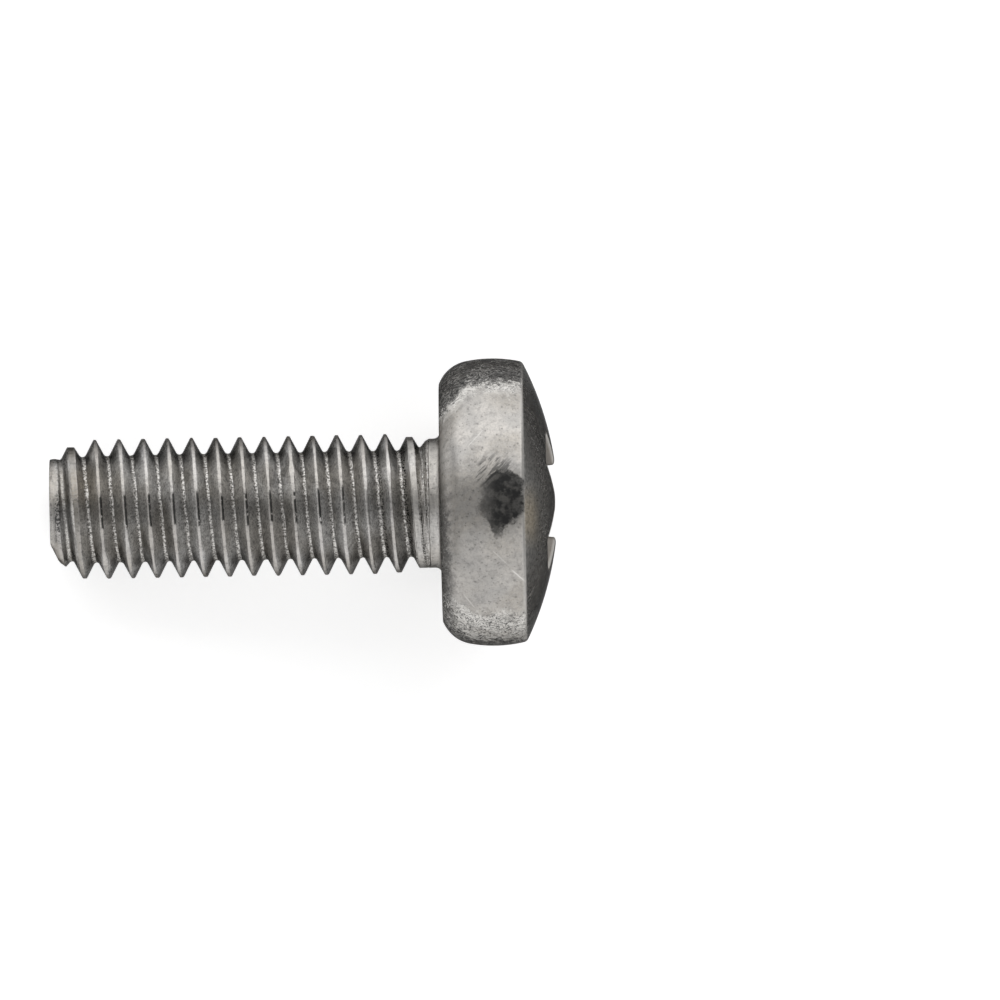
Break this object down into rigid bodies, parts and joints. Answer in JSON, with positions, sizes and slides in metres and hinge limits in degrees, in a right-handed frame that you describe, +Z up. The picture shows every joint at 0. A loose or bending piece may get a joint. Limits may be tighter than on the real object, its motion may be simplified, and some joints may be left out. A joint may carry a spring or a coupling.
{
  "type": "machine screw",
  "caption": "Short steel machine screw with a raised round head, a cross recess and a full-length right-hand metric thread.",
  "frame": {"origin": "centre of the flat bearing face under the head, on the screw's axis", "axes": "the screw lies at rest on a level floor, Z up; +X runs from tip to head, and the screw's axis lies in the XZ plane, rising 10.70 degrees toward the head; Y is across the screw"},
  "size_m": [0.0107, 0.006, 0.006],
  "materials": {
    "steel": "dull satin, as rolled and headed, with light scuffs"
  },
  "bodies": {
    "root": {"machine_screw": "steel"}
  },
  "joints": []
}
